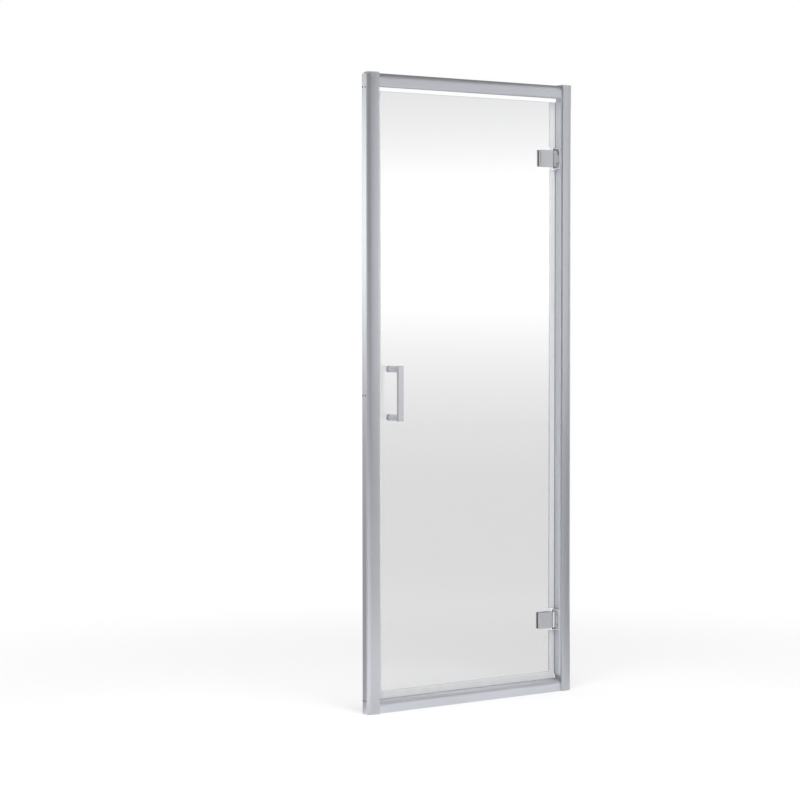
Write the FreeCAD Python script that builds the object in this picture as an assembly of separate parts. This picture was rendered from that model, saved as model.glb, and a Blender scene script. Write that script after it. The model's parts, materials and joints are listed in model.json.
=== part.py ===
import FreeCAD, Part
import math
import os

# Hinged shower door: a glass leaf on two side hinges in an aluminium frame between two walls.
# Millimetres. X runs along the door as seen from outside, -Y is outside, +Z is up.
# The origin is under the middle of the frame. The strike side is -X, the hinge side is +X.

# Frame
frame_width = 760.0
frame_height = 1850.0
frame_depth = 30.0
side_width = 40.0
edge_radius = 0.8

# Wall channels
channel_wall = 2.0
channel_reach = 25.0
channel_front_depth = 9.5
channel_corner_radius = 3.0
wall_hole_diameter = 5.0
wall_hole_spread = 13.0
wall_hole_offset = 3.0
wall_hole_end = 39.0

# Posts, measured from the wall face towards the opening
post_wall = 1.8
tongue_start = 6.0
slide_clearance = 0.3
shoulder_gap = 1.0
lip_start = 1.0
lip_edge = 1.1
brow_reach = 7.0
brow_depth = 15.0
brow_radius = 16.0
nose_depth = 18.4
nose_crest_reach = 24.0
nose_crest_share = 0.75
nose_corner_radius = 1.5
lip_room_slack = 0.6

# Post caps
post_cap_thickness = 5.0
cap_bevel = 0.6
cap_plug_depth = 6.0
plug_clearance = 0.2

# Rails, one extrusion used twice
rail_height = 38.0
rail_wall = 1.8
rail_back_step = 1.0
rail_round = 16.0
rail_foot_radius = 2.0
top_rail_drop = 2.0
port_wall = 2.0
port_setback = 9.0
port_low = 9.0
port_high = 24.0
port_web = 2.0

# Screws between rails and posts
rail_screw_diameter = 3.5
rail_screw_head = 7.0
rail_screw_head_height = 2.4
rail_screw_length = 25.0
driver_hole_diameter = 8.0

# Screws that lock a post in its wall channel
lock_screw_diameter = 4.0
lock_screw_head = 7.5
lock_screw_head_height = 2.4
lock_screw_length = 12.0
lock_screw_setback = 16.0
lock_screw_end = 150.0
lock_cap_wall = 1.4
lock_cap_radius = 1.2

# Fits shared by all screws
hole_clearance = 0.25
thread_clearance = 0.05
socket_share = 0.5
socket_depth = 1.8

# Strips on the posts' inner faces
jamb_thickness = 6.0
jamb_wall = 1.5
jamb_rib = 10.0
strike_strip_width = 7.0

# Glass
glass_thickness = 6.0
glass_inset = 0.5
glass_top_gap = 12.0
glass_bottom_gap = 11.0
glass_strike_gap = 11.0
glass_arris = 0.5
glass_hole_diameter = 10.0

# Seals and magnets
seal_wall = 1.2
seal_clearance = 0.1
seal_grip = 6.5
seal_jamb_gap = 0.6
seal_end_gap = 3.0
drip_rail_gap = 1.0
drip_grip = 11.5
inner_drip_height = 8.0
inner_drip_step = 4.6
bulb_thickness = 6.0
magnet_thickness = 3.5
magnet_width = 5.0
magnet_cover = 0.6
seal_stack_gap = 0.3

# Hinges
hinge_end = 171.0
plate_width = 49.0
plate_height = 50.0
plate_thickness = 8.0
plate_bevel_width = 4.0
plate_bevel_depth = 2.0
plate_edge_chamfer = 0.8
plate_step = 3.2
plate_neck = 4.0
inner_plate_thickness = 5.0
gasket_thickness = 1.0
gasket_margin = 1.0
glass_past_plate = 2.0
pin_diameter = 5.0
pin_head_diameter = 7.5
pin_head_height = 1.2
pin_tail = 1.0
pin_clearance = 0.04
fit_clearance = 0.02
bush_wall = 1.0
bush_length = 14.0
bush_flange = 3.0
knuckle_wall = 1.5
knuckle_gap = 0.5
bracket_thickness = 3.0
bracket_inset = 1.0
ear_thickness = 2.5
ear_margin = 0.5
ear_gap = 0.3
bracket_screw_diameter = 4.5
bracket_screw_head = 8.0
bracket_screw_length = 16.0
bracket_screw_setback = 6.5
bracket_screw_spread = 30.0
clamp_screw_diameter = 5.0
clamp_screw_head = 9.0
clamp_screw_spread = 28.0
clamp_thread = 5.0
sleeve_clearance = 0.1
seal_hinge_gap = 1.0

# Handle
handle_length = 160.0
handle_width = 19.0
handle_thickness = 8.5
handle_edge_radius = 1.5
handle_projection = 52.0
handle_edge_distance = 40.0
handle_middle = 927.0
leg_diameter = 19.0
spigot_diameter = 9.0
spigot_length = 4.0
handle_washer = 1.0
rosette_length = 6.5
rosette_chamfer = 1.0
handle_screw_diameter = 5.0
handle_screw_head = 9.5
handle_thread = 12.0
thread_run_out = 1.5

# Places that follow from the sizes above
half_width = frame_width / 2
half_depth = frame_depth / 2
opening_half = half_width - side_width
post_height = frame_height - post_cap_thickness
tongue_back = half_depth - channel_wall - slide_clearance
tongue_front = channel_front_depth - channel_wall - slide_clearance
shoulder = channel_reach + shoulder_gap
lip_back = channel_front_depth + slide_clearance
rail_back = half_depth - rail_back_step
port_y = rail_back - port_setback
top_rail_base = frame_height - top_rail_drop - rail_height
jamb_face = opening_half - jamb_thickness
glass_back = half_depth - glass_inset
glass_front = glass_back - glass_thickness
glass_middle = (glass_front + glass_back) / 2
glass_bottom = rail_height + glass_bottom_gap
glass_top = top_rail_base - glass_top_gap
glass_strike_edge = glass_strike_gap - jamb_face
seal_front = glass_front - seal_clearance - seal_wall
seal_back = glass_back + seal_clearance + seal_wall
drip_bottom = rail_height + drip_rail_gap
drip_top = glass_bottom + drip_grip
seal_bottom = drip_top + seal_stack_gap
plate_back = glass_front - gasket_thickness
plate_front = plate_back - plate_thickness
inner_plate_front = glass_back + gasket_thickness
inner_plate_back = inner_plate_front + inner_plate_thickness
bush_radius = pin_diameter / 2 + pin_clearance + bush_wall
knuckle_radius = bush_radius + fit_clearance + knuckle_wall
axis_x = jamb_face - bracket_thickness - knuckle_gap - knuckle_radius
axis_y = (plate_front + plate_back) / 2
plate_right = axis_x - knuckle_radius - plate_step
plate_left = plate_right - plate_width
plate_middle = (plate_left + plate_right) / 2
glass_hinge_edge = plate_right + glass_past_plate
ear_inner = plate_height / 2 + bush_flange + ear_gap
bracket_half = ear_inner + ear_thickness
hinge_heights = {"lower": glass_bottom + hinge_end, "upper": glass_top - hinge_end}
bracket_front = bracket_inset - half_depth
bracket_screw_y = bracket_front + bracket_screw_setback
handle_x = glass_strike_edge + handle_edge_distance
bar_front = glass_front - handle_projection
bar_back = bar_front + handle_thickness
leg_spread = handle_length - leg_diameter
leg_heights = [handle_middle - leg_spread / 2, handle_middle + leg_spread / 2]
rosette_front = glass_back + handle_washer
rosette_back = rosette_front + rosette_length
sleeve_radius = glass_hole_diameter / 2 - sleeve_clearance
sides = {"strike": -1, "hinge": 1}
rail_bases = {"bottom": 0.0, "top": top_rail_base}
wall_hole_heights = [wall_hole_end, post_height / 2, post_height - wall_hole_end]
lock_screw_heights = [lock_screw_end, post_height / 2 + lock_screw_end, post_height - lock_screw_end]

# Directions
along_x = FreeCAD.Vector(1, 0, 0)
along_y = FreeCAD.Vector(0, 1, 0)
along_z = FreeCAD.Vector(0, 0, 1)
past = 1.0
most_of_edge = 0.48


def corner_points(before, corner, after):
    """Start, middle and end of the arc that rounds one corner; a radius of None makes a wide crest."""
    point = FreeCAD.Vector(corner[0], corner[1], 0)
    back = FreeCAD.Vector(before[0], before[1], 0) - point
    on = FreeCAD.Vector(after[0], after[1], 0) - point
    shorter = min(back.Length, on.Length)
    half_angle = back.getAngle(on) / 2
    if corner[2] is None:
        reach = nose_crest_share * shorter
    else:
        reach = min(corner[2] / math.tan(half_angle), most_of_edge * shorter)
    if reach == 0:
        return [point]
    back.normalize()
    on.normalize()
    bisector = back + on
    bisector.normalize()
    radius = reach * math.tan(half_angle)
    middle = point + bisector * (radius / math.sin(half_angle) - radius)
    return [point + back * reach, middle, point + on * reach]


def outline(corners, place):
    """Closed face through corners (u, v, radius), with place(u, v) giving each point in space."""
    count = len(corners)
    stops = []
    for index, corner in enumerate(corners):
        stops.append(corner_points(corners[index - 1], corner, corners[(index + 1) % count]))
    edges = []
    for index, stop in enumerate(stops):
        spots = [place(point.x, point.y) for point in stop]
        following = stops[(index + 1) % count][0]
        if len(spots) == 3:
            edges.append(Part.Arc(*spots).toShape())
        edges.append(Part.LineSegment(spots[-1], place(following.x, following.y)).toShape())
    return Part.Face(Part.Wire(edges))


def upright(corners, low, high):
    """Prism of an XY outline from one height to another."""
    face = outline(corners, lambda x, y: FreeCAD.Vector(x, y, low))
    return face.extrude(along_z * (high - low))


def lengthwise(corners, left, right):
    """Prism of a YZ outline from one X to another."""
    face = outline(corners, lambda y, z: FreeCAD.Vector(left, y, z))
    return face.extrude(along_x * (right - left))


def through(corners, front, back):
    """Prism of an XZ outline from one Y to another."""
    face = outline(corners, lambda x, z: FreeCAD.Vector(x, front, z))
    return face.extrude(along_y * (back - front))


def oblong(low_u, high_u, low_v, high_v, radius=0.0):
    """Corners of a rectangle."""
    spots = [(low_u, low_v), (high_u, low_v), (high_u, high_v), (low_u, high_v)]
    return [(u, v, radius) for u, v in spots]


def rod(point, direction, diameter, length):
    """Cylinder from a point along a direction."""
    return Part.makeCylinder(diameter / 2, length, FreeCAD.Vector(*point), direction)


def at_side(side, corners):
    """Corners measured from a wall face, moved to the strike or hinge side."""
    return [(side * (half_width - reach), y, radius) for reach, y, radius in corners]


def hex_socket(point, direction, screw_diameter):
    """Six-sided driver pocket that starts at a screw head's face."""
    pocket = rod(point, direction, screw_diameter, socket_depth)
    across = screw_diameter * socket_share
    axes = [FreeCAD.Vector(1, 0, 0), FreeCAD.Vector(0, 0, 1)]
    if abs(direction.x) > 0.5:
        axes[0] = FreeCAD.Vector(0, 1, 0)
    start = FreeCAD.Vector(*point)
    corners = []
    for turn in range(7):
        angle = math.radians(60 * turn)
        corners.append(start + axes[0] * (across * math.cos(angle)) + axes[1] * (across * math.sin(angle)))
    prism = Part.Face(Part.makePolygon(corners)).extrude(direction * socket_depth)
    return pocket.common(prism)


def pan_screw(point, direction, diameter, head, head_height, length):
    """Screw whose head stands on a face at point; direction runs down the shank."""
    start = FreeCAD.Vector(*point)
    top = start - direction * head_height
    screw = rod(point, direction, diameter, length).fuse(rod(top, direction, head, head_height))
    return screw.removeSplitter().cut(hex_socket(top, direction, diameter))


def sunk_shape(point, direction, diameter, head, length):
    """Countersunk head and shank, with the head's face at point."""
    depth = (head - diameter) / 2
    cone = Part.makeCone(head / 2, diameter / 2, depth, FreeCAD.Vector(*point), direction)
    return cone.fuse(rod(point, direction, diameter, length)).removeSplitter()


def sunk_screw(point, direction, diameter, head, length):
    """Countersunk screw with a driver pocket."""
    return sunk_shape(point, direction, diameter, head, length).cut(hex_socket(point, direction, diameter))


def sunk_hole(point, direction, diameter, head, length, clearance):
    """Room for a countersunk screw, a clearance larger all round."""
    return sunk_shape(point, direction, diameter + 2 * clearance, head + 2 * clearance, length)


def rail_screw_places():
    """Height of every rail screw on one side of the frame."""
    return [base + port for base in rail_bases.values() for port in (port_low, port_high)]


def wall_channel(side):
    """U-shaped wall channel with its wall holes and lock screw holes."""
    inner_back = half_depth - channel_wall
    inner_front = channel_front_depth - channel_wall
    bend = max(channel_corner_radius - channel_wall, 0)
    corners = [
        (0, half_depth, channel_corner_radius),
        (channel_reach, half_depth, 0),
        (channel_reach, inner_back, 0),
        (channel_wall, inner_back, bend),
        (channel_wall, -inner_front, bend),
        (channel_reach, -inner_front, 0),
        (channel_reach, -channel_front_depth, 0),
        (0, -channel_front_depth, channel_corner_radius),
    ]
    channel = upright(at_side(side, corners), 0, post_height)
    inward = along_x * -side
    for height in wall_hole_heights:
        for y in (wall_hole_offset - wall_hole_spread / 2, wall_hole_offset + wall_hole_spread / 2):
            start = (side * (half_width + past), y, height)
            channel = channel.cut(rod(start, inward, wall_hole_diameter, channel_wall + 2 * past))
    for height in lock_screw_heights:
        start = (side * (half_width - lock_screw_setback), inner_back - past, height)
        size = lock_screw_diameter + 2 * hole_clearance
        channel = channel.cut(rod(start, along_y, size, channel_wall + 2 * past))
    return channel


def post_corners(slot):
    """Outer outline of a post, measured from the wall face, with the corners of the slot behind its lip."""
    return [
        (tongue_start, tongue_back, edge_radius),
        (shoulder, tongue_back, 0),
        (shoulder, half_depth, edge_radius),
        (side_width, half_depth, edge_radius),
        (side_width, -nose_depth, nose_corner_radius),
        (nose_crest_reach, -nose_depth, None),
        (brow_reach, -brow_depth, brow_radius),
        (lip_start, -lip_back - lip_edge, edge_radius),
        *slot,
        (tongue_start, -tongue_front, edge_radius),
    ]


def post_hollows(gap):
    """The hollows of the post's tongue and body, a gap smaller all round."""
    tongue = oblong(
        tongue_start + post_wall + gap,
        shoulder - post_wall / 2 - gap,
        post_wall + gap - tongue_front,
        tongue_back - post_wall - gap,
        edge_radius,
    )
    body = oblong(
        shoulder + post_wall / 2 + gap,
        side_width - post_wall - gap,
        post_wall + gap - nose_depth,
        half_depth - post_wall - gap,
        edge_radius,
    )
    return [tongue, body]


def lip_hollow():
    """The hollow of the post's lip, in front of the wall channel."""
    end = shoulder - post_wall / 2
    return [
        (brow_reach, -lip_back - post_wall, edge_radius),
        (end, -lip_back - post_wall, edge_radius),
        (end, post_wall + lip_room_slack - nose_depth, edge_radius),
        (brow_reach + post_wall, post_wall - brow_depth, edge_radius),
    ]


def post(side):
    """Hollow post with holes for the screws of the rails, the wall channel and any hinge brackets."""
    slot = [(lip_start, -lip_back, 0), (shoulder, -lip_back, 0), (shoulder, -tongue_front, 0)]
    shape = upright(at_side(side, post_corners(slot)), 0, post_height)
    for hollow in [lip_hollow(), *post_hollows(0)]:
        shape = shape.cut(upright(at_side(side, hollow), -past, post_height + past))
    outward = along_x * side
    inner_start = side * (opening_half - past)
    screw_hole = rail_screw_diameter + 2 * hole_clearance
    for height in rail_screw_places():
        shape = shape.cut(rod((inner_start, port_y, height), outward, screw_hole, post_wall + 2 * past))
        driver_start = side * (half_width - shoulder - post_wall)
        driver_run = shoulder - tongue_start + post_wall + past
        shape = shape.cut(rod((driver_start, port_y, height), outward, driver_hole_diameter, driver_run))
    for height in lock_screw_heights:
        start = (side * (half_width - lock_screw_setback), tongue_back - post_wall - past, height)
        size = lock_screw_diameter + 2 * thread_clearance
        shape = shape.cut(rod(start, along_y, size, post_wall + 2 * past))
    if side == sides["hinge"]:
        size = bracket_screw_diameter + 2 * thread_clearance
        for height in bracket_screw_places():
            start = (inner_start, bracket_screw_y, height)
            shape = shape.cut(rod(start, outward, size, post_wall + 2 * past))
    return shape


def post_cap(side):
    """Flat cap over the post and its slot, with a bevelled rim and plugs in the tongue and the body."""
    slot_cover = [(lip_start, -tongue_front, edge_radius)]
    cap = upright(at_side(side, post_corners(slot_cover)), post_height, frame_height)
    rim = [edge for edge in cap.Edges if edge.BoundBox.ZMin > frame_height - cap_bevel / 2]
    cap = cap.makeChamfer(cap_bevel, rim)
    for hollow in post_hollows(plug_clearance):
        cap = cap.fuse(upright(at_side(side, hollow), post_height - cap_plug_depth, post_height))
    return cap.removeSplitter()


def rail_corners(base, inset):
    """Rail outline in Y and Z, moved in from the skin."""
    top = base + rail_height - inset
    front = inset - half_depth
    return [
        (rail_back - inset, base + inset, edge_radius),
        (rail_back - inset, top, edge_radius),
        (front, top, rail_round - inset),
        (front, base + inset, max(rail_foot_radius - inset, edge_radius)),
    ]


def rail(base):
    """Hollow rail with two screw ports on webs from its back wall."""
    shape = lengthwise(rail_corners(base, 0), -opening_half, opening_half)
    shape = shape.cut(lengthwise(rail_corners(base, rail_wall), -opening_half - past, opening_half + past))
    bore = rail_screw_diameter + 2 * thread_clearance
    length = 2 * opening_half
    for port in (port_low, port_high):
        middle = base + port
        start = (-opening_half, port_y, middle)
        web = oblong(port_y, rail_back - rail_wall / 2, middle - port_web / 2, middle + port_web / 2)
        shape = shape.fuse(rod(start, along_x, bore + 2 * port_wall, length))
        shape = shape.fuse(lengthwise(web, -opening_half, opening_half))
        shape = shape.cut(rod(start, along_x, bore, length))
    return shape.removeSplitter()


def rail_screws():
    """Screws from inside the posts into the rails' ports."""
    screws = []
    for side in sides.values():
        for height in rail_screw_places():
            start = (side * (opening_half + post_wall), port_y, height)
            screws.append(pan_screw(start, along_x * -side, rail_screw_diameter, rail_screw_head,
                                    rail_screw_head_height, rail_screw_length))
    return Part.makeCompound(screws)


def lock_screws(side):
    """Screws through a wall channel's back flange into the post's tongue."""
    screws = []
    for height in lock_screw_heights:
        start = (side * (half_width - lock_screw_setback), half_depth, height)
        screws.append(pan_screw(start, along_y * -1, lock_screw_diameter, lock_screw_head,
                                lock_screw_head_height, lock_screw_length))
    return Part.makeCompound(screws)


def lock_caps(side):
    """Snap caps over the heads of the lock screws."""
    caps = []
    pocket_diameter = lock_screw_head + 2 * hole_clearance
    pocket_depth = lock_screw_head_height + hole_clearance
    cap_height = pocket_depth + lock_cap_wall
    for height in lock_screw_heights:
        start = (side * (half_width - lock_screw_setback), half_depth, height)
        cap = rod(start, along_y, pocket_diameter + 2 * lock_cap_wall, cap_height)
        rim = [edge for edge in cap.Edges if edge.BoundBox.YMin > half_depth + cap_height / 2]
        cap = cap.makeFillet(min(lock_cap_radius, cap_height / 2), rim)
        caps.append(cap.cut(rod(start, along_y, pocket_diameter, pocket_depth)))
    return Part.makeCompound(caps)


def bracket_screw_places():
    """Height of every bracket screw."""
    offsets = (-bracket_screw_spread / 2, bracket_screw_spread / 2)
    return [height + offset for height in hinge_heights.values() for offset in offsets]


def hinge_jamb():
    """Hollow strip that carries the hinge brackets, solid where their screws pass."""
    section = oblong(jamb_face, opening_half, -half_depth, half_depth, edge_radius)
    strip = upright(section, glass_bottom, glass_top)
    cells = [
        (jamb_wall - half_depth, bracket_screw_y - jamb_rib / 2),
        (bracket_screw_y + jamb_rib / 2, half_depth - jamb_wall),
    ]
    for front, back in cells:
        cell = oblong(jamb_face + jamb_wall, opening_half - jamb_wall, front, back)
        strip = strip.cut(upright(cell, glass_bottom - past, glass_top + past))
    size = bracket_screw_diameter + 2 * hole_clearance
    for height in bracket_screw_places():
        start = (jamb_face - past, bracket_screw_y, height)
        strip = strip.cut(rod(start, along_x, size, jamb_thickness + 2 * past))
    return strip


def strike_jamb():
    """Strip on the strike post with a groove for the frame's magnet."""
    half = strike_strip_width / 2
    strip = oblong(-opening_half, -jamb_face, glass_middle - half, glass_middle + half, edge_radius)
    groove_half = magnet_width / 2 + seal_clearance
    groove_floor = -jamb_face - magnet_thickness - seal_clearance
    groove = oblong(groove_floor, past - jamb_face, glass_middle - groove_half, glass_middle + groove_half)
    groove_room = upright(groove, glass_bottom - past, glass_top + past)
    return upright(strip, glass_bottom, glass_top).cut(groove_room)


def magnet(left, low):
    """Magnet strip in the closing edge."""
    half = magnet_width / 2
    section = oblong(left, left + magnet_thickness, glass_middle - half, glass_middle + half)
    return upright(section, low, glass_top)


def hinge_bracket(height):
    """Base plate on the jamb with an ear above and below the knuckle."""
    base_left = jamb_face - bracket_thickness
    ear_radius = knuckle_radius + ear_margin
    bracket_back = axis_y + ear_radius
    low, high = height - bracket_half, height + bracket_half
    shape = upright(oblong(base_left, jamb_face, bracket_front, bracket_back), low, high)
    ear = [
        (base_left, bracket_front, 0),
        (axis_x - ear_radius, axis_y - ear_radius, ear_radius),
        (axis_x - ear_radius, bracket_back, ear_radius),
        (base_left, bracket_back, 0),
    ]
    pin_hole = pin_diameter + 2 * fit_clearance
    for start in (low, high - ear_thickness):
        shape = shape.fuse(upright(ear, start, start + ear_thickness))
    shape = shape.cut(rod((axis_x, axis_y, low - past), along_z, pin_hole, 2 * bracket_half + 2 * past))
    for offset in (-bracket_screw_spread / 2, bracket_screw_spread / 2):
        start = (base_left, bracket_screw_y, height + offset)
        shape = shape.cut(sunk_hole(start, along_x, bracket_screw_diameter, bracket_screw_head,
                                    bracket_thickness + past, hole_clearance))
    return shape.removeSplitter()


def bracket_screws():
    """Countersunk screws through bracket and jamb into the hinge post."""
    start_x = jamb_face - bracket_thickness
    screws = []
    for height in bracket_screw_places():
        screws.append(sunk_screw((start_x, bracket_screw_y, height), along_x, bracket_screw_diameter,
                                 bracket_screw_head, bracket_screw_length))
    return Part.makeCompound(screws)


def hinge_pin(height):
    """Headed pin through both ears of a bracket."""
    low = height - bracket_half - pin_tail
    length = 2 * bracket_half + pin_tail
    shank = rod((axis_x, axis_y, low), along_z, pin_diameter, length)
    return shank.fuse(rod((axis_x, axis_y, low + length), along_z, pin_head_diameter, pin_head_height))


def hinge_bushes(height):
    """Two flanged bushes, one in each end of a knuckle."""
    bore = pin_diameter + 2 * pin_clearance
    bushes = []
    for end in (-1, 1):
        face = height + end * plate_height / 2
        outward = along_z * end
        inner = (axis_x, axis_y, face - end * bush_length)
        sleeve = rod(inner, outward, 2 * bush_radius, bush_length + bush_flange)
        flange = rod((axis_x, axis_y, face), outward, 2 * knuckle_radius, bush_flange)
        hollow = rod(inner, outward, bore, bush_length + bush_flange)
        bushes.append(sleeve.fuse(flange).removeSplitter().cut(hollow))
    return Part.makeCompound(bushes)


def clamp_screw_heights(height):
    """Heights of the two clamp screws of a hinge."""
    return [height - clamp_screw_spread / 2, height + clamp_screw_spread / 2]


def hinge_plate(height):
    """Outer clamp plate with its bevel, its neck and the knuckle round the pin."""
    low, high = height - plate_height / 2, height + plate_height / 2
    corners = [
        (plate_left, plate_front + plate_bevel_depth, 0),
        (plate_left + plate_bevel_width, plate_front, 0),
        (plate_right, plate_front, 0),
        (plate_right, plate_back, 0),
        (plate_left, plate_back, 0),
    ]
    plate = upright(corners, low, high)
    rims = [edge for edge in plate.Edges if edge.BoundBox.YMax < axis_y and edge.BoundBox.ZLength < past]
    plate = plate.makeChamfer(plate_edge_chamfer, rims)
    neck = oblong(plate_right, axis_x, plate_back - plate_neck, plate_back)
    plate = plate.fuse(upright(neck, low, high))
    plate = plate.fuse(rod((axis_x, axis_y, low), along_z, 2 * knuckle_radius, plate_height))
    bore = 2 * (bush_radius + fit_clearance)
    plate = plate.cut(rod((axis_x, axis_y, low - past), along_z, bore, plate_height + 2 * past))
    size = clamp_screw_diameter + 2 * thread_clearance
    for screw_height in clamp_screw_heights(height):
        start = (plate_middle, plate_back, screw_height)
        plate = plate.cut(rod(start, along_y * -1, size, clamp_thread + thread_run_out))
    return plate.removeSplitter()


def inner_plate(height):
    """Clamp plate on the inside of the glass, bored for countersunk screws."""
    low, high = height - plate_height / 2, height + plate_height / 2
    area = oblong(plate_left, plate_right, low, high, plate_edge_chamfer + edge_radius)
    plate = through(area, inner_plate_front, inner_plate_back)
    rims = [edge for edge in plate.Edges if edge.BoundBox.YMin > inner_plate_back - edge_radius]
    plate = plate.makeChamfer(plate_edge_chamfer, rims)
    for screw_height in clamp_screw_heights(height):
        start = (plate_middle, inner_plate_back, screw_height)
        plate = plate.cut(sunk_hole(start, along_y * -1, clamp_screw_diameter, clamp_screw_head,
                                    inner_plate_thickness + past, hole_clearance))
    return plate


def hinge_gaskets(height):
    """Soft sheets between the glass and the two plates of a hinge."""
    half = plate_height / 2 - gasket_margin
    left, right = plate_left + gasket_margin, plate_right - gasket_margin
    area = oblong(left, right, height - half, height + half, edge_radius)
    size = clamp_screw_diameter + 2 * hole_clearance
    sheets = []
    for front in (plate_back, glass_back):
        sheet = through(area, front, front + gasket_thickness)
        for screw_height in clamp_screw_heights(height):
            start = (plate_middle, front - past, screw_height)
            sheet = sheet.cut(rod(start, along_y, size, gasket_thickness + 2 * past))
        sheets.append(sheet)
    return Part.makeCompound(sheets)


def glass_sleeve(x, height, screw_diameter):
    """Sleeve that keeps a screw off the edge of its hole in the glass."""
    start = (x, glass_front, height)
    sleeve = rod(start, along_y, 2 * sleeve_radius, glass_thickness)
    return sleeve.cut(rod(start, along_y, screw_diameter + 2 * hole_clearance, glass_thickness))


def hinge_sleeves(height):
    """Sleeves round the clamp screws of a hinge."""
    return Part.makeCompound(
        [glass_sleeve(plate_middle, place, clamp_screw_diameter) for place in clamp_screw_heights(height)]
    )


def clamp_screws(height):
    """Countersunk screws from the inner plate into the outer plate."""
    length = inner_plate_back - plate_back + clamp_thread
    screws = []
    for place in clamp_screw_heights(height):
        start = (plate_middle, inner_plate_back, place)
        screws.append(sunk_screw(start, along_y * -1, clamp_screw_diameter, clamp_screw_head, length))
    return Part.makeCompound(screws)


def glass_panel():
    """Clear panel with polished edges and holes for the hinges and the handle."""
    area = oblong(glass_strike_edge, glass_hinge_edge, glass_front, glass_back, glass_arris)
    panel = upright(area, glass_bottom, glass_top)
    places = [(handle_x, height) for height in leg_heights]
    for hinge in hinge_heights.values():
        places += [(plate_middle, height) for height in clamp_screw_heights(hinge)]
    for x, height in places:
        start = (x, glass_front - past, height)
        panel = panel.cut(rod(start, along_y, glass_hole_diameter, glass_thickness + 2 * past))
    return panel


def drip_seal():
    """Bottom seal: a clip on the glass with an outer skirt and an inner drip lip."""
    floor = glass_bottom - seal_clearance
    under = floor - seal_wall
    lip_front = seal_back - inner_drip_step
    corners = [
        (seal_front, drip_bottom, 0),
        (seal_front + seal_wall, drip_bottom, 0),
        (seal_front + seal_wall, under, 0),
        (lip_front, under, 0),
        (lip_front, under - inner_drip_height, 0),
        (lip_front + seal_wall, under - inner_drip_height, 0),
        (lip_front + seal_wall, under, 0),
        (seal_back, under, 0),
        (seal_back, drip_top, 0),
        (seal_back - seal_wall, drip_top, 0),
        (seal_back - seal_wall, floor, 0),
        (seal_front + seal_wall, floor, 0),
        (seal_front + seal_wall, drip_top, 0),
        (seal_front, drip_top, 0),
    ]
    return lengthwise(corners, seal_end_gap - jamb_face, jamb_face - seal_end_gap)


def glass_slot(low, high, left, right):
    """Room for the edge of the glass in an upright seal."""
    slot = oblong(left, right, glass_front - seal_clearance, glass_back + seal_clearance)
    return upright(slot, low - past, high + past)


def hinge_side_seal():
    """Clip with a hollow bulb towards the jamb, cut away at the hinges."""
    clip_left = glass_hinge_edge - seal_grip
    clip_right = glass_hinge_edge + seal_clearance + seal_wall
    bulb_right = jamb_face - seal_jamb_gap
    bulb_front = glass_middle - bulb_thickness / 2
    bulb_back = glass_middle + bulb_thickness / 2
    clip = oblong(clip_left, clip_right, seal_front, seal_back)
    bulb = oblong(clip_right - seal_wall, bulb_right, bulb_front, bulb_back, seal_wall)
    hollow = oblong(clip_right, bulb_right - seal_wall, bulb_front + seal_wall, bulb_back - seal_wall)
    room = bracket_half + pin_tail + pin_head_height + seal_hinge_gap
    stops = [seal_bottom, hinge_heights["lower"] - room, hinge_heights["lower"] + room,
             hinge_heights["upper"] - room, hinge_heights["upper"] + room, glass_top]
    pieces = []
    for low, high in zip(stops[0::2], stops[1::2]):
        piece = upright(clip, low, high).fuse(upright(bulb, low, high)).removeSplitter()
        piece = piece.cut(upright(hollow, low - past, high + past))
        pieces.append(piece.cut(glass_slot(low, high, clip_left - past, glass_hinge_edge + seal_clearance)))
    return Part.makeCompound(pieces)


def magnet_seal():
    """Clip on the strike edge that carries the leaf's magnet."""
    clip_left = seal_jamb_gap - jamb_face
    clip_right = glass_strike_edge + seal_grip
    section = oblong(clip_left, clip_right, seal_front, seal_back, edge_radius)
    seal = upright(section, seal_bottom, glass_top)
    pocket_left = clip_left + magnet_cover
    pocket_half = magnet_width / 2 + seal_clearance
    pocket = oblong(pocket_left, pocket_left + magnet_thickness + 2 * seal_clearance,
                    glass_middle - pocket_half, glass_middle + pocket_half)
    seal = seal.cut(upright(pocket, seal_bottom - past, glass_top + past))
    slot_left = glass_strike_edge - seal_clearance
    return seal.cut(glass_slot(seal_bottom, glass_top, slot_left, clip_right + past))


def handle_bar():
    """Flat grip bar with two sockets for the legs."""
    half = handle_width / 2
    low, high = handle_middle - handle_length / 2, handle_middle + handle_length / 2
    section = oblong(handle_x - half, handle_x + half, bar_front, bar_back, handle_edge_radius)
    bar = upright(section, low, high)
    size = spigot_diameter + 2 * fit_clearance
    for height in leg_heights:
        start = (handle_x, bar_back, height)
        bar = bar.cut(rod(start, along_y * -1, size, spigot_length + fit_clearance))
    return bar


def handle_legs():
    """Round legs between the bar and the glass."""
    length = glass_front - handle_washer - bar_back
    bore = handle_screw_diameter + 2 * thread_clearance
    legs = []
    for height in leg_heights:
        leg = rod((handle_x, bar_back, height), along_y, leg_diameter, length)
        leg = leg.fuse(rod((handle_x, bar_back, height), along_y * -1, spigot_diameter, spigot_length))
        end = (handle_x, bar_back + length, height)
        legs.append(leg.cut(rod(end, along_y * -1, bore, handle_thread + thread_run_out)))
    return Part.makeCompound(legs)


def handle_washers():
    """Soft washers on both faces of the glass."""
    washers = []
    for height in leg_heights:
        for front in (glass_front - handle_washer, glass_back):
            start = (handle_x, front, height)
            washer = rod(start, along_y, leg_diameter - 2 * gasket_margin, handle_washer)
            bore = handle_screw_diameter + 2 * hole_clearance
            washers.append(washer.cut(rod(start, along_y, bore, handle_washer)))
    return Part.makeCompound(washers)


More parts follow.
